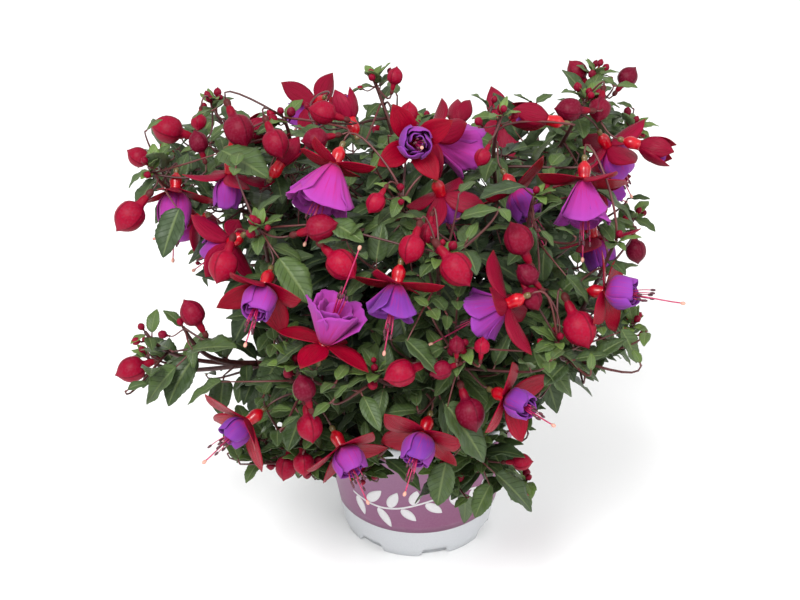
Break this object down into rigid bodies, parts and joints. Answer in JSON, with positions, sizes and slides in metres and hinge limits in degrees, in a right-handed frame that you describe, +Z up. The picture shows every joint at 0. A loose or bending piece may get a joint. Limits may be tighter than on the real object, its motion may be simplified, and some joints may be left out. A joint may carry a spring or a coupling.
{
  "type": "potted fuchsia",
  "caption": "Bushy fuchsia in flower in a small round plastic pot: arching leafy stems with buds and hanging blooms of four spread sepals over a bell of petals.",
  "frame": {"origin": "on the pot's axis, level with the surface that the pot's foot stands on", "axes": "+Z up along the pot's axis, -Y towards the front with the label, +X to the right seen from the front"},
  "size_m": [0.2998, 0.3221, 0.2955],
  "materials": {
    "white_plastic": "white moulded plastic with a slight sheen",
    "label_film": "mauve printed film with a soft sheen",
    "soil": "dark crumbly potting soil",
    "foliage": "dark green matte leaves on maroon stems, with crimson buds",
    "sepals": "waxy crimson red",
    "petals": "velvety violet with rose veins at the base"
  },
  "bodies": {
    "root": {"pot": "white_plastic", "label": "label_film", "soil": "soil", "branch_01": "foliage", "branch_02": "foliage", "branch_03": "foliage", "branch_04": "foliage", "branch_05": "foliage", "branch_06": "foliage", "branch_07": "foliage", "branch_08": "foliage", "branch_09": "foliage", "bloom_01_sepals": "sepals", "bloom_02_sepals": "sepals", "bloom_03_sepals": "sepals", "bloom_04_sepals": "sepals", "bloom_05_sepals": "sepals", "bloom_06_sepals": "sepals", "bloom_07_sepals": "sepals", "bloom_08_sepals": "sepals", "bloom_09_sepals": "sepals", "bloom_10_sepals": "sepals", "bloom_11_sepals": "sepals", "bloom_12_sepals": "sepals", "bloom_13_sepals": "sepals", "bloom_14_sepals": "sepals", "bloom_15_sepals": "sepals", "bloom_16_sepals": "sepals", "bloom_17_sepals": "sepals", "bloom_18_sepals": "sepals", "bloom_19_sepals": "sepals", "bloom_20_sepals": "sepals", "bloom_21_sepals": "sepals", "bloom_22_sepals": "sepals", "bloom_23_sepals": "sepals", "bloom_24_sepals": "sepals", "bloom_01_corolla": "petals", "bloom_02_corolla": "petals", "bloom_03_corolla": "petals", "bloom_04_corolla": "petals", "bloom_05_corolla": "petals", "bloom_06_corolla": "petals", "bloom_07_corolla": "petals", "bloom_08_corolla": "petals", "bloom_09_corolla": "petals", "bloom_10_corolla": "petals", "bloom_11_corolla": "petals", "bloom_12_corolla": "petals", "bloom_13_corolla": "petals", "bloom_14_corolla": "petals", "bloom_15_corolla": "petals", "bloom_16_corolla": "petals", "bloom_17_corolla": "petals", "bloom_18_corolla": "petals", "bloom_19_corolla": "petals", "bloom_20_corolla": "petals", "bloom_21_corolla": "petals", "bloom_22_corolla": "petals", "bloom_23_corolla": "petals", "bloom_24_corolla": "petals"}
  },
  "joints": []
}
